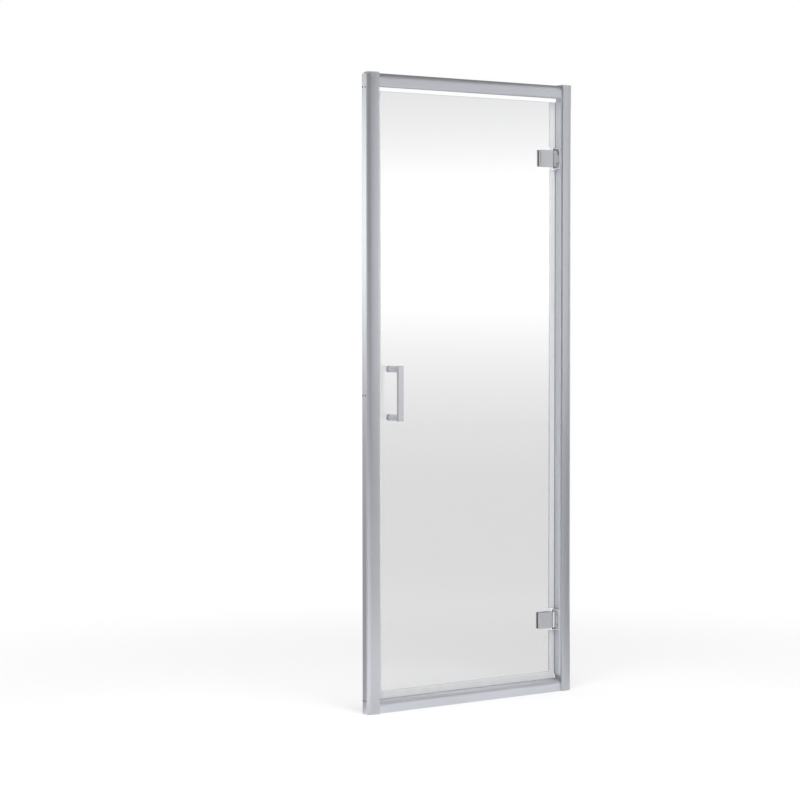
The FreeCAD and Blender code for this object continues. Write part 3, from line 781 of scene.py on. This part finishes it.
def lip_hollow(side, low, high):
    """The hollow of a post's lip, in front of the wall channel."""
    end = shoulder - post_wall / 2
    room = [
        (brow_reach, -lip_back - post_wall, 0), (end, -lip_back - post_wall, 0),
        (end, post_wall + lip_room_slack - nose_depth, 0),
        (brow_reach + post_wall, post_wall - brow_depth, 0),
    ]
    return prism("hollow", from_wall(side, room), "Z", low, high)


def post(name, side):
    """Hollow post with a front that curves back to a lip over its channel."""
    low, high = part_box(name + "_post")
    slot = [(lip_start, -lip_back, 0), (shoulder, -lip_back, 0), (shoulder, -tongue_front, 0)]
    shell = prism("post_" + name, from_wall(side, post_section(slot)), "Z", low.z, high.z)
    ends = (low.z - past, high.z + past)
    cut(softened(shell, soft_edge / 2), lip_hollow(side, *ends), *post_hollows(side, 0, *ends))
    dressed(shell, post_aluminium, "satin_aluminium", "frame", name + "_post")


def post_cap(name, side):
    """Cap over a post's end with two plugs in its hollows."""
    low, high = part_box(name + "_post_cap")
    closed = [(lip_start, -tongue_front, small_round)]
    cap = prism("cap_" + name, from_wall(side, post_section(closed)), "Z", post_top, high.z)
    with editing(cap):
        round_edges(lambda middle, direction: middle.z > high.z - near, cap_round, segments=4)
    plugs = [softened(plug) for plug in post_hollows(side, cap_plug_gap, low.z, post_top)]
    dressed(joined([cap] + plugs), cap_silver, "silver_plastic", "frame", name + "_post_cap")


def lock_covers(name, side):
    """Snap covers over the lock screws, modelled once and copied up the channel."""
    low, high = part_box(name + "_lock_screw_caps")
    radius = (high.x - low.x) / 2
    height = high.y - low.y
    profile = [(0, lock_pocket_depth), (lock_pocket_radius, lock_pocket_depth), (lock_pocket_radius, 0),
               (radius, 0)]
    for step in range(lock_cover_steps + 1):
        turn = math.pi / 2 * step / lock_cover_steps
        profile.append((radius - lock_cover_round * (1 - math.cos(turn)),
                        height - lock_cover_round * (1 - math.sin(turn))))
    profile.append((0, height))
    first = turned("screw_covers_" + name, profile, (side * lock_line, low.y, lock_levels[0]), (0, 1, 0))
    others = [copied(first, "cover", (0, 0, level - lock_levels[0])) for level in lock_levels[1:]]
    dressed(joined([first] + others), cap_silver, "silver_plastic", "frame", name + "_lock_screw_caps")


def rail(name, node):
    """Hollow rail with a rounded top front."""
    low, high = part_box(node)
    corners = [(high.y, low.z, small_round), (high.y, high.z, small_round),
               (low.y, high.z, rail_round), (low.y, low.z, rail_foot_round)]
    beam = hollow_out(prism(name, corners, "X", low.x, high.x), "X", rail_wall)
    dressed(beam, level_aluminium, "satin_aluminium", "frame", node)


def hinge_strip():
    """Slim two-cell strip between the hinge post and the brackets."""
    low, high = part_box("hinge_jamb")
    corners = [(low.x, low.y, small_round), (high.x, low.y, small_round),
               (high.x, high.y, small_round), (low.x, high.y, small_round)]
    strip = prism("jamb_hinge", corners, "Z", low.z, high.z)
    cells = [(low.y + jamb_wall, jamb_rib_front), (jamb_rib_back, high.y - jamb_wall)]
    for front, back in cells:
        cut(strip, block("cell", (low.x + jamb_wall, front, low.z - past),
                         (high.x - jamb_wall, back, high.z + past)))
    dressed(strip, upright_aluminium, "satin_aluminium", "frame", "hinge_jamb")


def glass():
    """Pane with broken edges and its clamp and handle holes."""
    pane = block("glass", glass_low, glass_high)
    with editing(pane):
        round_edges(lambda middle, direction: True, glass_arris, segments=1)
    places = [(handle_line, level) for level in handle_levels]
    for level in hinge_levels:
        places += [(clamp_line, level - clamp_spread / 2), (clamp_line, level + clamp_spread / 2)]
    length = glass_high.y - glass_low.y + 2 * past
    for x, z in places:
        cut(pane, rod((x, glass_low.y - past, z), (0, 1, 0), glass_hole_radius, length))
    dressed(pane, glass_finish, "clear_glass", "leaf", "glass_panel")


def drip_seal():
    """Seal along the pane's foot: a clip with a floor and two lips down to the rail."""
    low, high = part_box("drip_seal")
    inner_front, inner_back = low.y + seal_wall, high.y - seal_wall
    clip_floor = glass_low.z - seal_play
    under = clip_floor - seal_wall
    drip_front = high.y - drip_lip_step
    drip_back = drip_front + seal_wall
    tip = under - drip_lip_height
    corners = [
        (low.y, low.z, 0), (inner_front, low.z, 0), (inner_front, under, 0), (drip_front, under, 0),
        (drip_front, tip, 0), (drip_back, tip, 0), (drip_back, under, 0),
        (high.y, under, seal_lip_round), (high.y, high.z, seal_lip_round), (inner_back, high.z, 0),
        (inner_back, clip_floor, 0), (inner_front, clip_floor, 0), (inner_front, high.z, 0),
        (low.y, high.z, seal_lip_round),
    ]
    strip = prism("seal_drip", corners, "X", low.x, high.x)
    dressed(strip, seal_finish, "seal_plastic", "leaf", "drip_seal")


def hinge_side_seal():
    """Bulb seal on the pane's hinge edge, in three lengths between the hinges."""
    low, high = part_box("hinge_side_seal")
    middle = (glass_low.y + glass_high.y) / 2
    slot_end = glass_high.x + seal_play
    slot_front, slot_back = glass_low.y - seal_play, glass_high.y + seal_play
    web = slot_end + seal_wall
    corners = [
        (low.x, low.y, seal_lip_round), (web, low.y, seal_lip_round), (web, middle - bulb_half, 0),
        (high.x, middle - bulb_half, bulb_round), (high.x, middle + bulb_half, bulb_round),
        (web, middle + bulb_half, 0), (web, high.y, seal_lip_round), (low.x, high.y, seal_lip_round),
        (low.x, slot_back, 0), (slot_end, slot_back, 0), (slot_end, slot_front, 0), (low.x, slot_front, 0),
    ]
    room = bracket_half + seal_hinge_room
    stops = [low.z] + [level + step for level in hinge_levels for step in (-room, room)] + [high.z]
    lengths = []
    for start, end in zip(stops[0::2], stops[1::2]):
        strip = prism("seal_hinge_side", corners, "Z", start, end)
        hollow = block("hollow", (web, middle - bulb_half + seal_wall, start - past),
                       (high.x - seal_wall, middle + bulb_half - seal_wall, end + past))
        lengths.append(cut(strip, hollow))
    dressed(joined(lengths), seal_finish, "seal_plastic", "leaf", "hinge_side_seal")


def magnet_seal():
    """Seal on the pane's closing edge with the pocket of its magnet."""
    low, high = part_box("magnet_seal")
    middle = (glass_low.y + glass_high.y) / 2
    slot_end = glass_low.x - seal_play
    slot_front, slot_back = glass_low.y - seal_play, glass_high.y + seal_play
    corners = [
        (low.x, low.y, seal_lip_round), (high.x, low.y, seal_lip_round), (high.x, slot_front, 0),
        (slot_end, slot_front, 0), (slot_end, slot_back, 0), (high.x, slot_back, 0),
        (high.x, high.y, seal_lip_round), (low.x, high.y, seal_lip_round),
    ]
    strip = prism("seal_magnet", corners, "Z", low.z, high.z)
    pocket = block("pocket", (low.x + magnet_cover, middle - magnet_half, low.z - past),
                   (low.x + magnet_cover + magnet_depth, middle + magnet_half, high.z + past))
    dressed(cut(strip, pocket), seal_finish, "seal_plastic", "leaf", "magnet_seal")


def hinge_plate(name):
    """Outer clamp plate with a bevelled side and the knuckle that turns on the pin."""
    low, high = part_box(name + "_hinge_plate")
    front = pin_axis.y - plate_front
    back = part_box(name + "_hinge_gaskets")[0].y
    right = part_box(name + "_hinge_inner_plate")[1].x
    end_turn = 540 - math.degrees(math.asin((back - pin_axis.y) / knuckle_radius))
    corners = [(low.x, front + plate_bevel_depth, 0), (low.x + plate_bevel_width, front, 0),
               (right, front, 0), (right, pin_axis.y, 0)]
    for step in range(knuckle_steps + 1):
        turn = math.radians(180 + (end_turn - 180) * step / knuckle_steps)
        corners.append((pin_axis.x + knuckle_radius * math.cos(turn),
                        pin_axis.y + knuckle_radius * math.sin(turn), 0))
    corners.append((low.x, back, 0))
    plate = prism("plate_" + name, corners, "Z", low.z, high.z)
    with editing(plate):
        round_edges(lambda middle, direction: abs(direction.z) < hardly and middle.x < right + near
                    and middle.y < front + plate_bevel_depth + near, plate_rim, segments=2)
    softened(plate)
    start = (pin_axis.x, pin_axis.y, low.z - past)
    cut(plate, rod(start, (0, 0, 1), knuckle_bore, high.z - low.z + 2 * past))
    dressed(plate, plate_chrome, "chrome", "leaf", name + "_hinge_plate")


def inner_plate(name, level):
    """Inner clamp plate with its two countersunk holes."""
    low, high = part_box(name + "_hinge_inner_plate")
    plate = block("plate_inner_" + name, low, high)
    with editing(plate):
        round_edges(lambda middle, direction: abs(direction.y) > mostly, inner_plate_round)
        round_edges(lambda middle, direction: middle.y > high.y - near, plate_rim, segments=2)
    for step in (-clamp_spread / 2, clamp_spread / 2):
        cut(plate, sunk_cutter((clamp_line, high.y, level + step), (0, -1, 0), high.y - low.y + past))
    dressed(plate, plate_chrome, "chrome", "leaf", name + "_hinge_inner_plate")


def hinge_bracket(name, level):
    """Bracket on the strip: a base with two rounded ears round the pin."""
    low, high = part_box(name + "_hinge_bracket")
    face = high.x - bracket_base
    bracket = block("bracket_" + name, (face, low.y, low.z), high)
    ears = (low.z + ear_thickness, high.z - ear_thickness)
    with editing(bracket):
        for ear in ears:
            bpy.ops.mesh.select_all(action="SELECT")
            bpy.ops.mesh.bisect(plane_co=(0, 0, ear), plane_no=(0, 0, 1))
        choose("FACE", lambda middle, normal: normal.x < -mostly and not ears[0] < middle.z < ears[1])
        bpy.ops.mesh.extrude_region_move(TRANSFORM_OT_translate={"value": (low.x - face, 0, 0)})
        choose("EDGE", lambda middle, direction: middle.x < low.x + near and middle.y < low.y + near
               and abs(direction.z) > mostly)
        bpy.ops.transform.translate(value=(0, pin_axis.y - ear_front - low.y, 0))
        tip = Vector((low.x, pin_axis.y - ear_front, 0))
        round_edges(lambda middle, direction: (middle.xy - tip.xy).length < near
                    and abs(direction.z) > mostly, ear_front_reach, segments=5)
        round_edges(lambda middle, direction: middle.x < low.x + near and middle.y > high.y - near
                    and abs(direction.z) > mostly, ear_back_reach, segments=8)
        face_out()
    softened(bracket)
    foot = (pin_axis.x, pin_axis.y, low.z - past)
    cut(bracket, rod(foot, (0, 0, 1), pin_radius, high.z - low.z + 2 * past))
    for step in (-bracket_screw_spread / 2, bracket_screw_spread / 2):
        cut(bracket, sunk_cutter((face, bracket_screw_row, level + step), (1, 0, 0), bracket_base + past))
    dressed(bracket, bracket_chrome, "chrome", "frame", name + "_hinge_bracket")


def hinge_pin(name):
    """Pin with a round head on top."""
    low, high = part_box(name + "_hinge_pin")
    length = high.z - low.z
    head = (high.x - low.x) / 2
    neck = length - pin_head_height
    profile = [(0, 0), (pin_radius - soft_edge, 0), (pin_radius, soft_edge), (pin_radius, neck), (head, neck),
               (head, length - soft_edge), (head - soft_edge, length), (0, length)]
    pin = turned("pin_" + name, profile, (pin_axis.x, pin_axis.y, low.z), (0, 0, 1))
    dressed(pin, plain_steel, "steel", "frame", name + "_hinge_pin")


def handle_bar():
    """Flat bar with rounded edges."""
    low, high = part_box("handle_bar")
    bar = block("grip_bar", low, high)
    with editing(bar):
        round_edges(lambda middle, direction: True, bar_round)
    dressed(bar, soft_chrome, "chrome", "leaf", "handle_bar")


def handle_legs():
    """Round legs with a fine neck under the bar, modelled once and copied."""
    bar_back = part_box("handle_bar")[1].y
    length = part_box("handle_legs")[1].y - bar_back
    neck_radius = leg_radius - leg_neck
    profile = [(0, 0), (neck_radius, 0), (neck_radius, leg_neck), (leg_radius, 2 * leg_neck),
               (leg_radius, length - leg_neck), (neck_radius, length), (0, length)]
    first = turned("grip_legs", profile, (handle_line, bar_back, handle_levels[0]), (0, 1, 0))
    second = copied(first, "leg", (0, 0, handle_levels[1] - handle_levels[0]))
    dressed(joined([first, second]), leg_chrome, "chrome", "leaf", "handle_legs")


def handle_rosettes():
    """Round inner ends of the handle, countersunk, modelled once and copied."""
    low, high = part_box("handle_rosettes")
    depth = high.y - low.y
    profile = [(sunk_bore, 0), (leg_radius - soft_edge, 0), (leg_radius, soft_edge),
               (leg_radius, depth - rosette_rim), (leg_radius - rosette_rim, depth),
               (sunk_radius, depth), (sunk_bore, depth - sunk_depth), (sunk_bore, 0)]
    first = turned("grip_rosettes", profile, (handle_line, low.y, handle_levels[0]), (0, 1, 0))
    second = copied(first, "rosette", (0, 0, handle_levels[1] - handle_levels[0]))
    dressed(joined([first, second]), painted_lighter_chrome, "chrome", "leaf", "handle_rosettes")


for name, side in (("strike", -1), ("hinge", 1)):
    wall_channel(name, side)
    post(name, side)
    post_cap(name, side)
    lock_covers(name, side)
rail("rail_top", "top_rail")
rail("rail_bottom", "bottom_rail")
hinge_strip()
glass()
drip_seal()
hinge_side_seal()
magnet_seal()
for name, level in zip(hinge_names, hinge_levels):
    hinge_plate(name)
    inner_plate(name, level)
    hinge_bracket(name, level)
    hinge_pin(name)
handle_bar()
handle_legs()
handle_rosettes()

# Finishes of the pieces that stay as they are
kept_finishes = {
    "strike_jamb": upright_aluminium,
    "strike_magnet": magnet_finish,
    "leaf_magnet": magnet_finish,
    "handle_washers": washer_finish,
    "handle_sleeves": sleeve_finish,
    "lower_hinge_gaskets": gasket_finish,
    "upper_hinge_gaskets": gasket_finish,
    "lower_hinge_sleeves": sleeve_finish,
    "upper_hinge_sleeves": sleeve_finish,
    "lower_hinge_bushes": nylon_finish,
    "upper_hinge_bushes": nylon_finish,
}
for node in frame["nodes"].values():
    node.data.materials.clear()
    node.data.materials.append(kept_finishes.get(node.name, plain_steel))


def floor_glow(board):
    """Strength of the floor in reflections: a pool of light, dim far away and behind the door."""
    place = board.place()
    across, deep = board.split(place, "XY")
    away = board.add("ShaderNodeVectorMath", {"operation": "LENGTH"}, {0: place}, "Value")
    from_pool = board.add("ShaderNodeVectorMath", {"operation": "DISTANCE"},
                          {0: place, 1: pool_place}, "Value")
    pool = pool_strength * math.e ** (0.0 - (from_pool * (1.0 / pool_reach)) ** 2.0)
    pool = pool * (1.0 - pool_front_loss * board.ramp(deep, *pool_front)
                   - pool_behind_loss * board.ramp(deep, *pool_behind))
    left = board.ramp(across * (0.0 - away ** -1.0), *left_turn) * board.ramp(0.0 - across, *left_start)
    left = left * (left_strength - left_behind_loss * board.ramp(deep, *left_behind))
    close = (1.0 - board.ramp(away, *close_edge)) * (1.0 - board.ramp(deep, *close_behind))
    far = far_least + far_strength * board.ramp(away, *far_edge)
    return pool + left + close_strength * close + far


def floor():
    """Wide pale floor that keeps the door's shadow."""
    bpy.ops.object.select_all(action="DESELECT")
    bpy.ops.mesh.primitive_plane_add(size=floor_size)
    ground = settled("floor")
    finish, board = new_finish("pale_floor")
    away = board.add("ShaderNodeVectorMath", {"operation": "LENGTH"}, {0: board.place()}, "Value")
    speckle = board.noise((300.0, 300.0, 300.0), 2.0)
    shaded = board.add("ShaderNodeBsdfDiffuse", {}, {"Color": board.mix(speckle, grey(0.915), grey(0.925))})
    white = board.add("ShaderNodeEmission", {}, {"Color": grey(1.0)})
    share = floor_light + (1.0 - floor_light) * board.ramp(away, *shadow_edge)
    seen = board.add("ShaderNodeMixShader", {}, {0: share, 1: shaded, 2: white})
    glow = board.add("ShaderNodeEmission", {}, {"Color": grey(1.0), "Strength": floor_glow(board)})
    glossy = board.add("ShaderNodeLightPath", out="Is Glossy Ray")
    through = board.add("ShaderNodeLightPath", out="Is Transmission Ray")
    mirrored = glossy * (1.0 - through)
    board.surface(board.add("ShaderNodeMixShader", {}, {0: mirrored, 1: seen, 2: glow}))
    ground.data.materials.append(finish)
    return ground


def air_glow(board):
    """Strength of the air in reflections."""
    x, y, z = board.split(board.add("ShaderNodeTexCoord", out="Generated"), "XYZ")
    rise, fall = (board.slope(z, *stretch) for stretch in (band_rise, band_fall))
    band = board.least(band_rise_strength * rise ** band_rise_bend,
                       band_fall_strength * fall ** band_fall_bend)
    band = board.least(band, band_most)
    front = board.ramp(mirror_x * x - mirror_y * y, *band_turn)
    right = board.ramp(x, *right_turn)
    back = board.ramp(mirror_y * y - mirror_x * x, *back_turn)
    around = air_least + air_low_strength * board.ramp(z, *air_low) - air_high_loss * board.ramp(z, *air_high)
    return around + band * (band_spill + front) + right_strength * right + back_strength * back


def studio():
    """White to look at and through, soft light on dull surfaces and its own glow for reflections."""
    world = bpy.data.worlds.new("studio")
    bpy.context.scene.world = world
    board = Board(world)
    direct = board.add("ShaderNodeLightPath", out="Is Camera Ray")
    through = board.add("ShaderNodeLightPath", out="Is Transmission Ray")
    glossy = board.add("ShaderNodeLightPath", out="Is Glossy Ray")
    seen = direct + through - direct * through
    unseen = glossy * air_glow(board) + (1.0 - glossy) * soft_light
    level = seen + (1.0 - seen) * unseen
    shine = board.add("ShaderNodeBackground", {}, {"Color": grey(1.0), "Strength": level})
    board.add("ShaderNodeOutputWorld", {}, {"Surface": shine})


def lamp(name, place, aim, width, height, power):
    """Soft lamp that isn't seen itself."""
    bpy.ops.object.light_add(type="AREA", location=place)
    light = bpy.context.object
    light.name = name
    light.data.shape = "RECTANGLE"
    light.data.size = width
    light.data.size_y = height
    light.data.energy = power
    light.visible_transmission = False
    light.visible_camera = False
    light.rotation_euler = (Vector(aim) - Vector(place)).to_track_quat("-Z", "Y").to_euler()
    return light


def lamps():
    """A large lamp above the camera's left, and panels that the metal mirrors."""
    overhead = lamp("overhead_lamp", lamp_place, lamp_aim, lamp_size, lamp_size, lamp_power)
    overhead.visible_glossy = False
    panels = [lamp(*panel) for panel in mirrored_panels]
    for panel in panels:
        panel.visible_diffuse = False
    return overhead, *panels


def camera():
    """Camera at the photograph's angle, with everything sharp."""
    bpy.ops.object.camera_add(location=camera_place, rotation=(camera_tilt, camera_roll, camera_turn))
    eye = bpy.context.object
    eye.data.lens = camera_lens
    eye.data.sensor_width = camera_sensor
    eye.data.dof.use_dof = False
    bpy.context.scene.camera = eye


floor()
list(lamps())
studio()
camera()
bpy.context.scene.view_settings.view_transform = "Standard"
